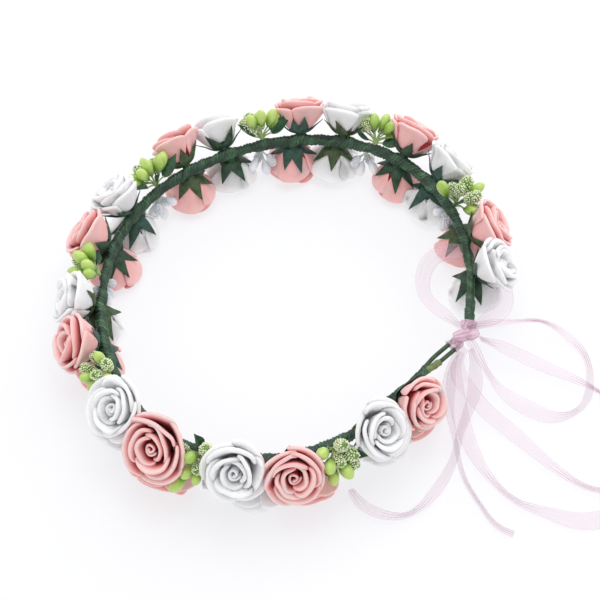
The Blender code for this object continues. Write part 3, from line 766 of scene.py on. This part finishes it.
def beaded_drop(size, rng):
    """A drop with round beads all over, in millimetres, its middle at the origin."""
    # The core between the beads is given the painted shade, each bead a random lighter tone.
    parts = [(*turned_form([(h * DROP_CORE_SHARE, r * DROP_CORE_SHARE) for h, r in BUD_PROFILE], 12), 0.0)]
    k = np.arange(BEADS_ON_DROP)
    level = 1 - 2 * (k + 0.5) / BEADS_ON_DROP
    turn = k * math.pi * (3 - 5**0.5)
    flat = np.sqrt(1 - level**2)
    heights = level * 3.5 + 0.2
    radii = np.interp(heights, *zip(*BUD_PROFILE)) * 0.90
    centres = np.stack([np.cos(turn) * radii, np.sin(turn) * radii, heights], axis=-1)
    centres = centres * (0.75 + 0.25 * flat[:, None] ** 0.3) + rng.normal(0, 0.10, centres.shape)
    for centre in centres:
        bead = centre + bead_points * BEAD_RADIUS * rng.uniform(0.75, 1.15)
        parts.append((bead, bead_faces, rng.uniform(0.5, 1.0)))
    points, faces, facts = join_parts(parts)
    return points * size, faces, facts


def smooth_drop(size, rng):
    """A smooth bud with faint ribs, in millimetres, its middle at the origin."""
    points, faces = turned_form(BUD_PROFILE, 16)
    turn = np.arctan2(points[:, 1], points[:, 0])
    ribs = 1 + 0.035 * np.cos(5 * turn + rng.uniform(0, 6))
    points = points * np.stack([ribs, ribs, np.ones_like(ribs)], axis=-1)
    # Painted shade at the bud's foot, lighter towards its tip.
    shade_to_light = smooth_step(points[:, 2], -3.6, 2.5) * rng.uniform(0.55, 1.0)
    return points * size, faces, shade_to_light


def small_leaf(size, rng):
    """A pointed leaf with a folded midrib, in millimetres, its foot 5 mm behind the origin."""
    u, t = np.meshgrid(np.linspace(-1, 1, 7), np.linspace(0, 1, 11))
    half = LEAF_HALF_WIDTH * np.sin(math.pi * t**0.75) ** 0.8 * (1 - t**4) + 0.10
    bend = rng.uniform(-1.4, 1.4)
    grid = np.stack([u * half, 0.45 * np.abs(u) * half + bend * t**2, LEAF_LENGTH * (t - 0.5)], axis=-1)
    points, faces = thick_sheet(grid, np.full(u.shape, LEAF_THICKNESS))
    return points * size, faces, 0.0


def swept_round(line, off, radius, sides):
    """A round skin along a line; off is a way that the line never points, radius one number or one a side."""
    ahead = unit(np.gradient(line, axis=0))
    side = unit(np.cross(ahead, off))
    face = np.cross(ahead, side)
    angle = np.arange(sides) * 2 * math.pi / sides
    ring = side[:, None, :] * np.cos(angle)[:, None] + face[:, None, :] * np.sin(angle)[:, None]
    points = line[:, None, :] + ring * np.broadcast_to(radius, sides)[:, None]
    return points.reshape(-1, 3), sleeve_faces(len(line), sides)


def drop_finish(name, shadow, body, light, roughness, waxy):
    """Glossy moulded plastic, a little waxy, with painted shade at the foot and between the beads, paler
    towards the tips.
    """
    finish, tree, shader = finish_nodes(
        name,
        {
            "Roughness": roughness, "Coat Weight": 0.35, "Coat Roughness": 0.15,
            "Subsurface Weight": waxy, "Subsurface Radius": (0.7, 1.0, 0.4), "Subsurface Scale": 0.0012,
        },
    )
    shade_to_light = uneven_fact(tree, "shade_to_light", grain(tree, 420.0, 3.0), 0.35)
    colour_by(tree, shader, shade_to_light, (0.15, shadow), (0.55, body), (1.0, light))
    raise_grain(tree, shader, grain(tree, 1500.0, 2.0), 0.00012, 0.3)
    return finish


def make_bunch(name, contents, finishes, seed):
    """Builds one bunch from its table; finishes and slots are by kind of piece."""
    along, axis = seats[name]
    ahead = ring_ahead(along)
    outward = unit(np.cross(ahead, axis))
    foot = ring_at(along) + axis * (TAPE_RADIUS - 0.0006)
    rng = np.random.default_rng(seed)
    made = {"bud": [], "sugar": [], "leaf": [], "stem": []}
    for kind, lean_ahead, lean_out, reach, size in contents:
        lean = math.radians(lean_ahead), math.radians(lean_out)
        way = unit(axis + ahead * math.tan(lean[0]) + outward * math.tan(lean[1]))
        shape = {"bud": smooth_drop, "sugar": beaded_drop, "leaf": small_leaf}[kind]
        size = size * BUNCH_SIZE
        points, faces, facts = shape(size, rng)
        centre = foot + way * reach * 0.001
        points = placed(points, centre, way, unit(np.cross(way, outward)), rng.uniform(0, 6.2))
        made[kind].append((points, faces, facts))
        head_foot = reach - (4.0 if kind != "leaf" else 4.8) * size
        middle = axis * head_foot * 0.45 + (way - axis) * head_foot * 0.22
        route = [axis * -0.8, middle, way * (head_foot + 0.5)]
        stem_line = smooth_line(route, STEM_STEP)[0]
        stem_points, stem_faces = swept_round(stem_line, (0.31, 0.87, 0.11), STEM_RADIUS, STEM_SIDES)
        made["stem"].append((foot + stem_points * 0.001, stem_faces, 0.0))
    for kind, parts in made.items():
        if not parts:
            continue
        points, faces, facts = join_parts(parts)
        piece = make_piece(f"{name}_{kind}", pressed(points), faces, finishes[kind], {"shade_to_light": facts})
        if kind in ("bud", "leaf"):
            rounded(piece)
        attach(piece, "root")
    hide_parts(name)


green_finishes = {
    "bud": drop_finish("green_bud", (0.10, 0.20, 0.022), (0.27, 0.46, 0.050), (0.52, 0.69, 0.18), 0.30, 0.25),
    "sugar": drop_finish("sugared_bud", (0.11, 0.23, 0.03), (0.44, 0.6, 0.2), (0.84, 0.9, 0.62), 0.18, 0.22),
    "leaf": leaf_finish("bunch_leaf", (0.012, 0.050, 0.024), (0.045, 0.135, 0.055)),
    "stem": drop_finish("pale_stem", (0.30, 0.42, 0.14), (0.55, 0.68, 0.36), (0.75, 0.84, 0.60), 0.45, 0.10),
}
for number, (name, contents) in enumerate(zip(green_names, GREEN_BUNCHES)):
    make_bunch(name, contents, green_finishes, 1300 + number)

# -------------------- white sprigs
# The same bunches in frosted white, bound in below each green one. Their drops are dull and a little
# clear, and they stay half hidden between the lower roses.
WHITE_BUNCH = (
    ("bud", -30, 4, 10.5, 0.9), ("bud", -6, 20, 11.5, 0.95), ("bud", 22, 2, 11, 0.9),
    ("sugar", 6, -18, 10, 0.95), ("bud", 34, 24, 9.5, 0.85), ("sugar", -32, 28, 8.5, 0.8),
)
FROST_SHADOW = (0.62, 0.65, 0.70)
white_finishes = {
    "bud": drop_finish("frosted_bud", FROST_SHADOW, (0.78, 0.80, 0.84), (0.90, 0.91, 0.93), 0.50, 0.40),
    "sugar": drop_finish("frosted_beads", FROST_SHADOW, (0.8, 0.82, 0.86), (0.93, 0.94, 0.96), 0.28, 0.3),
    "leaf": green_finishes["leaf"],
    "stem": drop_finish("white_stem", (0.50, 0.56, 0.50), (0.68, 0.74, 0.68), (0.80, 0.84, 0.80), 0.45, 0.10),
}
for number, name in enumerate(white_names):
    turned_over = -1 if number % 2 else 1
    contents = [(kind, turned_over * ahead, *rest) for kind, ahead, *rest in WHITE_BUNCH]
    make_bunch(name, contents, white_finishes, 1700 + number)

# -------------------- organza ribbon
# Sheer pink organza, 9 mm wide with a firm woven edge. It holds both eyes together in a bow: two
# loops and five tails that fall from the knot and lie in loose curves on the table.
RIBBON_WIDTH = 0.009
RIBBON_NECK = 0.003
RIBBON_NECK_RUN = 0.018
RIBBON_THICKNESS = 0.00014
RIBBON_STEP = 0.0012
RIBBON_COLUMNS = 31
# Where the ribbon is pulled together it stands in three pleats, and a full pull takes up three quarters
# of its width.
PLEAT_DEPTH = RIBBON_WIDTH / 13
PLEATS = 3
FULL_PULL = 0.75
OFF_TABLE = 0.0003
KNOT_ROUTE_HEIGHT = 26
KNOT_HALF_SIZE = (0.006, 0.0045, 0.0032)
KNOT_LIFT = 0.0005
# Routes in millimetres from the knot's foot on the table, for a knot at KNOT_ROUTE_HEIGHT. Then come the
# ribbon's turn about its own line in degrees, and how far it is pulled together there, from 0 to 1.
RIBBON_ROUTES = {
    "loop_inner": (
        (-1, -1.5, 26, 0, 0), (-6, -8.5, 24, 10, 0), (-20, -23, 18, 20, 0.15), (-37, -27.5, 14, 25, 0.1),
        (-47, -25, 14.5, 15, 0.1), (-51, -18, 16.6, 5, 0), (-52, -11, 17.5, 0, 0), (-53, -5, 17, 0, 0),
        (-50, 1, 15.5, -5, 0), (-43, 9, 14.5, -15, 0), (-30, 14, 17, -20, 0), (-16, 12, 22, -10, 0),
        (-1, 1.5, 26, 0, 0),
    ),
    "loop_outer": (
        (-1, 1.5, 27.2, 0, 0), (-7, 10, 26, -20, 0.2), (-19.5, 24.5, 17, -37, 0.3),
        (-28, 36.5, 8.5, -27, 0.6), (-26.5, 48, 4, -30, 0.15), (-19, 57.5, 2.9, -24, 0.7),
        (-7, 62.5, 1.2, -6, 0.8), (5, 62.5, 0.8, 0, 0.8), (14, 57.5, 1, 6, 0.85), (19, 47.5, 1.6, 8, 0.1),
        (19, 35.5, 4, 0, 0), (17, 23.5, 9, 22, 0.1), (12, 13.5, 17, 40, 0.3), (5, 4.5, 24.6, 10, 0),
        (1, 0.5, 25.4, 0, 0),
    ),
    "tail_1": (
        (1, 8, 23.5, -5, 0), (-4, 18.5, 14, -8, 0), (-6, 30.5, 7, -10, 0), (-5, 43.5, 4.6, -15, 0.1),
        (-2, 57, 5.2, -26, 0.35), (2, 70, 4.4, -36, 0.75), (7, 84, 2.2, -20, 0.3), (7, 96, 0.9, 0, 0),
        (-3, 104, 0.7, 0, 0), (-15, 102.5, 0.7, 0, 0),
    ),
    "tail_2": (
        (8.8, 2.5, 24, 0, 0), (14, 1, 19.6, 0, 0), (18.5, 2.5, 15.8, 0, 0), (22, 8, 11.5, -5, 0),
        (27, 18, 5.6, -10, 0), (32, 30, 2.4, -10, 0), (39.5, 43.5, 2.5, -18, 0.1),
        (47, 57, 2.8, -26, 0.35), (52, 72, 3, -30, 0.7), (48, 87, 2.2, -18, 0.4), (35, 97, 0.7, 0, 0),
        (21, 99, 0.7, 0, 0),
    ),
    "tail_3": (
        (9, 1.2, 20.4, 0, 0), (14.5, 0, 14.8, 0, 0.1), (20, 1.5, 9.2, 0, 0.1), (29, 5.5, 6.3, 0, 0.1),
        (38.5, 10.5, 4.8, -4, 0.15), (51, 19, 3.6, -12, 0.3), (62, 30.5, 3.2, -22, 0.7),
        (68, 42, 2.6, -20, 0.75), (69, 55.5, 1.8, -12, 0.3), (69, 69.5, 1.3, -6, 0),
        (63, 83.5, 0.8, 0, 0), (55, 95.5, 0.7, 0, 0),
    ),
    "tail_4": (
        (8, -1.5, 17.5, 0, 0), (14.5, -2, 10.5, 0, 0.3), (20, -1, 6.2, 0, 0.4), (28, 1, 4.2, 0, 0.6),
        (37, 4.5, 3.6, 0, 0.85), (46, 8.5, 3.2, -2, 1), (55.5, 12.5, 3.1, -6, 1), (65.5, 18, 3.2, -14, 1),
        (75, 27, 2.7, -14, 1), (82.5, 36.5, 2.3, -12, 0.9), (84, 44, 2, -10, 0.8),
    ),
    "tail_5": (
        (6, 5, 20.5, 0, 0), (10, 8.5, 13.5, 0, 0.2), (15, 10.5, 7.6, 0, 0.3), (20, 11, 4, 0, 0.4),
        (26, 10.5, 1.8, 0, 0.6), (32, 10, 0.8, 0, 0.7), (40, 9.5, 0.6, 0, 0.8), (50, 10, 0.7, 0, 0.8),
        (62.5, 8.5, 0.9, 6, 0.65), (77.5, 4, 2.2, 20, 0.55), (89, -4, 2.2, 20, 0.85),
        (91.5, -14.5, 2.4, 24, 0.3), (89.5, -24, 2.6, 24, 0.35), (84, -31, 2.3, 20, 0.9),
    ),
}

knot_middle = (ring_at(0.0) + ring_at(RING_LENGTH)) / 2
knot_middle = knot_middle + UP * (BARE_WIRE_RADIUS + KNOT_LIFT + KNOT_HALF_SIZE[2])


def organza_finish(name, colour, sheer_alpha, edge_alpha):
    """Fine sheer weave that lets more light through in its middle than at its hem."""
    finish, tree, shader = finish_nodes(
        name,
        {
            "Base Color": (*colour, 1.0), "Roughness": 0.42, "Specular IOR Level": 0.3,
            "Sheen Weight": 0.12, "Sheen Roughness": 0.4,
        },
    )
    hem = node(tree, "ShaderNodeAttribute", attribute_name="hem")
    thread = node(tree, "ShaderNodeMath", {1: 0.10}, operation="MULTIPLY")
    woven = node(tree, "ShaderNodeMath", {1: sheer_alpha - 0.05}, operation="ADD")
    firm = node(tree, "ShaderNodeMath", {1: edge_alpha - sheer_alpha}, operation="MULTIPLY")
    total = node(tree, "ShaderNodeMath", operation="ADD", use_clamp=True)
    tree.links.new(grain(tree, 2400.0, 2.0), thread.inputs[0])
    tree.links.new(thread.outputs[0], woven.inputs[0])
    tree.links.new(hem.outputs["Fac"], firm.inputs[0])
    tree.links.new(woven.outputs[0], total.inputs[0])
    tree.links.new(firm.outputs[0], total.inputs[1])
    tree.links.new(total.outputs[0], shader.inputs["Alpha"])
    raise_grain(tree, shader, grain(tree, 2400.0, 2.0), 0.0001, 0.2)
    return finish


organza = organza_finish("pink_organza", (0.78, 0.54, 0.66), 0.135, 0.19)


def ribbon(name, route, necks):
    """One run of ribbon as a thin woven strip that pleats up where it is pulled together."""
    lift = knot_middle[2] / KNOT_ROUTE_HEIGHT
    points = [
        (knot_middle[0] + x * 0.001, knot_middle[1] + y * 0.001, z * lift, turn, pull)
        for x, y, z, turn, pull in route
    ]
    line, stations = smooth_line(points, RIBBON_STEP)
    ahead = unit(np.gradient(line[:, :3], axis=0))
    flat = unit(np.cross(UP, ahead))
    turn = np.radians(line[:, 3])[:, None]
    side = flat * np.cos(turn) + np.cross(ahead, flat) * np.sin(turn)
    face = np.cross(ahead, side)
    full = smooth_step(stations, 0.0, RIBBON_NECK_RUN)
    if necks == 2:
        full = np.minimum(full, smooth_step(stations[-1] - stations, 0.0, RIBBON_NECK_RUN))
    spread = RIBBON_NECK / RIBBON_WIDTH + (1 - RIBBON_NECK / RIBBON_WIDTH) * full
    spread = spread * (1 - FULL_PULL * np.clip(line[:, 4], 0.0, 1.0))
    v = np.linspace(-1, 1, RIBBON_COLUMNS)
    pleat = PLEAT_DEPTH * np.sqrt(1 - spread**2)[:, None] * np.cos(PLEATS * math.pi * v)
    grid = line[:, None, :3] + side[:, None, :] * (RIBBON_WIDTH / 2 * spread[:, None] * v)[..., None]
    grid = grid + face[:, None, :] * pleat[..., None]
    grid[..., 2] = np.maximum(grid[..., 2], OFF_TABLE)
    points, faces = thick_sheet(grid, np.full(grid.shape[:2], RIBBON_THICKNESS))
    hem = np.broadcast_to(smooth_step(np.abs(v), 0.86, 0.93), grid.shape[:2])
    gathered = np.maximum(hem, 0.35 * (1 - full)[:, None]).ravel()
    piece = make_piece(name, points, faces, organza, {"hem": np.concatenate([gathered, gathered])})
    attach(piece, "root")
    return piece


for name, route in RIBBON_ROUTES.items():
    is_loop = name.startswith("loop")
    strip = ribbon(f"organza_{name}", route, 2 if is_loop else 1)
    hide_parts("ribbon_bow" if is_loop else f"ribbon_{name}")

# -------------------- knot
# The ribbon is threaded through both eyes, wrapped over their tips and pulled up into a small soft knot.
# The wraps pleat round the wire, and the knot is a gathered bunch that lies across between them.
knot_pink = organza_finish("gathered_organza", (0.86, 0.62, 0.74), 0.34, 0.70)
KNOT_ALONG = unit(np.array((-0.45, 0.89, 0.0)))
KNOT_MIDDLE = knot_middle + np.array((0.0018, 0.0012, -0.0012))
# Half the bunch's length, width across and height.
BUNCH_HALF_SIZE = (0.0062, 0.0029, 0.0023)
KNOT_RINGS = 41
KNOT_SIDES = 72
heights, turns = skin_grid(np.linspace(-1, 1, KNOT_RINGS), KNOT_SIDES)
bulge = 0.30 + 0.70 * np.sqrt(np.clip(1 - (heights * 0.96) ** 2, 0, 1))
waist = 1 - 0.22 * np.exp(-((heights / 0.16) ** 2))
fold = 1 + 0.16 * np.sin(9 * turns + 2.0 * heights) + 0.08 * np.sin(4 * turns - 4.0 * heights + 1.0)
knot_across = np.cross(UP, KNOT_ALONG)
knot_points = (
    (heights * BUNCH_HALF_SIZE[0])[..., None] * KNOT_ALONG
    + (bulge * waist * fold * np.cos(turns) * BUNCH_HALF_SIZE[1])[..., None] * knot_across
    + (bulge * waist * fold * np.sin(turns) * BUNCH_HALF_SIZE[2])[..., None] * UP
)
knot = make_piece(
    "ribbon_knot", knot_points.reshape(-1, 3) + KNOT_MIDDLE, sleeve_faces(KNOT_RINGS, KNOT_SIDES), knot_pink,
    {"hem": np.clip(0.6 + 2.5 * (1 - fold), 0, 1).ravel()},
)
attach(knot, "root")


WRAP_RINGS = 30
WRAP_SIDES = 60
WRAP_PAST_TIP = 0.0022
SHUT_RADIUS = 0.0009
FRILL_FLARE = 0.0005


def eye_wrap(name, end_along, sign, reach, loose):
    """Ribbon wrapped over an eye's tip: an open frilled edge round the wire, drawn shut past the tip."""
    back = np.linspace(reach, -WRAP_PAST_TIP, WRAP_RINGS)
    turns = np.arange(WRAP_SIDES) * 2 * math.pi / WRAP_SIDES
    line = ring_at(end_along) + ring_ahead(end_along + sign * 0.004) * (sign * back)[:, None]
    out = ring_out(end_along + sign * 0.004)
    shut = smooth_step(back, -0.0024, 0.0012)
    frill = smooth_step(back, reach - 0.0016, reach)
    opened = PAPER_WIRE_RADIUS + loose - SHUT_RADIUS
    wide = SHUT_RADIUS + (EYE_LEG_OFFSET + opened) * shut + FRILL_FLARE * frill
    high = SHUT_RADIUS + opened * shut + FRILL_FLARE * frill
    pleats = 1 + 0.07 * np.sin(11 * turns + back[:, None] * 900)
    pleats = pleats + 0.05 * np.sin(5 * turns - back[:, None] * 700)
    pleats = pleats + 0.10 * frill[:, None] * np.sin(8 * turns)
    points = line[:, None, :] + out * (wide[:, None] * np.cos(turns) * pleats)[..., None]
    points = points + UP * (high[:, None] * np.sin(turns) * pleats)[..., None]
    faces = sleeve_faces(WRAP_RINGS, WRAP_SIDES)
    if sign > 0:
        faces = [tuple(reversed(face)) for face in faces]
    shine = np.clip(0.45 + 4.0 * (1 - pleats), 0, 1)
    made = make_piece(name, points.reshape(-1, 3), faces, knot_pink, {"hem": shine.ravel()})
    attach(made, "root")


eye_wrap("ribbon_wrap_upper", 0.0, 1, 0.0042, 0.0006)
eye_wrap("ribbon_wrap_lower", RING_LENGTH, -1, 0.0052, 0.0004)

# The turn of ribbon that runs through both eyes, under the knot.
LINK_BACK = 0.003
LINK_DROP = UP * 0.001
LINK_STEP = 0.0004
LINK_SIDES = 40
LINK_RADIUS = 0.0021
eye_first, eye_last = ring_at(LINK_BACK), ring_at(RING_LENGTH - LINK_BACK)
link_route = [
    eye_first, (eye_first + knot_middle) / 2 - LINK_DROP, KNOT_MIDDLE - LINK_DROP,
    (eye_last + knot_middle) / 2 - LINK_DROP, eye_last,
]
link_line = smooth_line(link_route, LINK_STEP)[0]
pleats = 1 + 0.16 * np.cos(7 * np.arange(LINK_SIDES) * 2 * math.pi / LINK_SIDES)
points, faces = swept_round(link_line, UP, LINK_RADIUS * pleats, LINK_SIDES)
hem = np.tile(np.clip(0.5 + 2.0 * (1 - pleats), 0, 1), len(link_line))
link = make_piece("ribbon_link", points, faces, knot_pink, {"hem": hem})
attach(link, "root")

# -------------------- table and light
# A white table top that is lit from inside, in a light tent: a white sky all round, a large soft box
# overhead and a second one low behind, so that the shadows almost vanish.
table_white = finish_nodes(
    "white_table",
    {
        "Base Color": (0.33, 0.33, 0.335, 1.0), "Roughness": 0.60, "Specular IOR Level": 0.2,
        "Emission Color": (0.97, 0.975, 1.0, 1.0), "Emission Strength": 0.64,
    },
)[0]
corners = [(-3, -3, 0), (3, -3, 0), (3, 3, 0), (-3, 3, 0)]
table_top = make_piece("table_top", np.array(corners, float), [(0, 1, 2, 3)], table_white)

sky = bpy.data.worlds.new("light_tent")
sky.use_nodes = True
sky.node_tree.nodes["Background"].inputs["Color"].default_value = (0.98, 0.985, 1.0, 1.0)
sky.node_tree.nodes["Background"].inputs["Strength"].default_value = 0.86
bpy.context.scene.world = sky


def soft_box(name, place, aim, size, power):
    """A square lamp at a place, aimed at a point; power is in watts."""
    lamp = bpy.data.lights.new(name, "AREA")
    lamp.shape = "SQUARE"
    lamp.size = size
    lamp.energy = power
    made = bpy.data.objects.new(name, lamp)
    made.location = place
    made.rotation_euler = (Vector(aim) - Vector(place)).to_track_quat("-Z", "Y").to_euler()
    bpy.context.scene.collection.objects.link(made)


soft_box("soft_box_above", (-0.25, -0.10, 0.95), (0.0, 0.0, 0.0), 0.9, 3.6)
soft_box("soft_box_behind", (-0.9, 0.30, 0.50), (0.0, 0.0, 0.02), 0.7, 2.2)

# -------------------- camera
# The camera looks down on the crown over its left side, with the tie to the right.
CAMERA_AZIMUTH = math.radians(107.0)
CAMERA_ELEVATION = math.radians(54.0)
CAMERA_DISTANCE = 0.65
LENS_MM = 81.25
SENSOR_MM = 36.0
LOOKED_AT = Vector((0.0063, 0.0113, BAND_HEIGHT))
lens = bpy.data.cameras.new("camera")
lens.lens = LENS_MM
lens.sensor_width = SENSOR_MM
camera = bpy.data.objects.new("camera", lens)
level = Vector((math.sin(CAMERA_AZIMUTH), -math.cos(CAMERA_AZIMUTH), 0.0)) * math.cos(CAMERA_ELEVATION)
back = level + Vector((0.0, 0.0, math.sin(CAMERA_ELEVATION)))
camera.location = LOOKED_AT + back * CAMERA_DISTANCE
camera.rotation_euler = (-back).to_track_quat("-Z", "Y").to_euler()
bpy.context.scene.collection.objects.link(camera)
bpy.context.scene.camera = camera
bpy.context.scene.view_settings.view_transform = "Standard"
